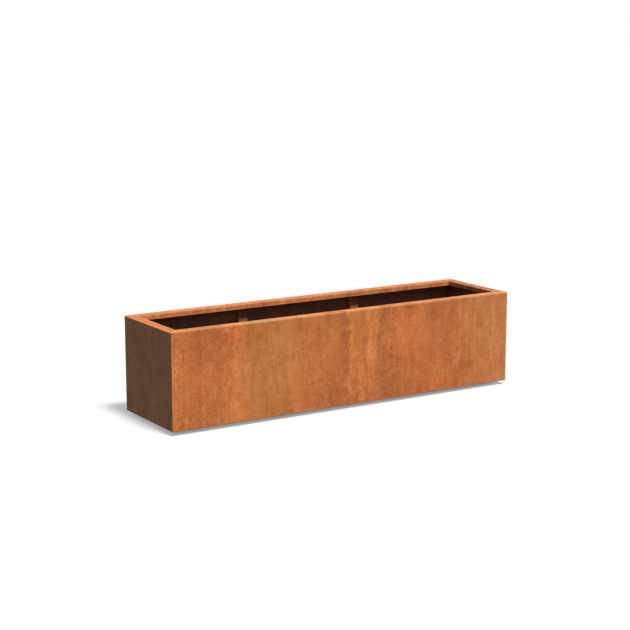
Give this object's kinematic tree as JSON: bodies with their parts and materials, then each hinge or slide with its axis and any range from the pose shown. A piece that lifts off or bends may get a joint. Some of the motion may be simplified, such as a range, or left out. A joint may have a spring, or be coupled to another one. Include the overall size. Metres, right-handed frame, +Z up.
{
  "type": "trough planter box",
  "caption": "Long open-topped rectangular trough planter of folded weathering-steel sheet, with a flat inward rim and return lip, inner stiffeners, cross ties and short hidden feet.",
  "frame": {"origin": "on the ground, under the middle of the trough", "axes": "+X along the length, to the right seen from the front; -Y is the front; +Z is up"},
  "size_m": [2, 0.5, 0.5],
  "materials": {
    "wall_sheet": "matte orange-brown rust patina on bare weathering steel, not painted",
    "inner_steel": "matte darker rust patina on bare weathering steel, not painted",
    "zinc_plated_steel": "dull zinc plating"
  },
  "bodies": {
    "root": {"back_foot_1": "inner_steel", "back_foot_2": "inner_steel", "back_foot_3": "inner_steel", "back_foot_4": "inner_steel", "back_stiffener_left": "inner_steel", "back_stiffener_right": "inner_steel", "back_wall": "wall_sheet", "base_plate": "inner_steel", "corner_angle_back_left": "inner_steel", "corner_angle_back_right": "inner_steel", "corner_angle_front_left": "inner_steel", "corner_angle_front_right": "inner_steel", "cross_tie_left": "inner_steel", "cross_tie_right": "inner_steel", "floor_rib_left": "inner_steel", "floor_rib_right": "inner_steel", "front_foot_1": "inner_steel", "front_foot_2": "inner_steel", "front_foot_3": "inner_steel", "front_foot_4": "inner_steel", "front_stiffener_left": "inner_steel", "front_stiffener_right": "inner_steel", "front_wall": "wall_sheet", "left_end_wall": "wall_sheet", "right_end_wall": "wall_sheet", "tie_bolts": "zinc_plated_steel", "tie_rivet_nuts": "zinc_plated_steel", "tie_washers": "zinc_plated_steel"}
  },
  "joints": []
}
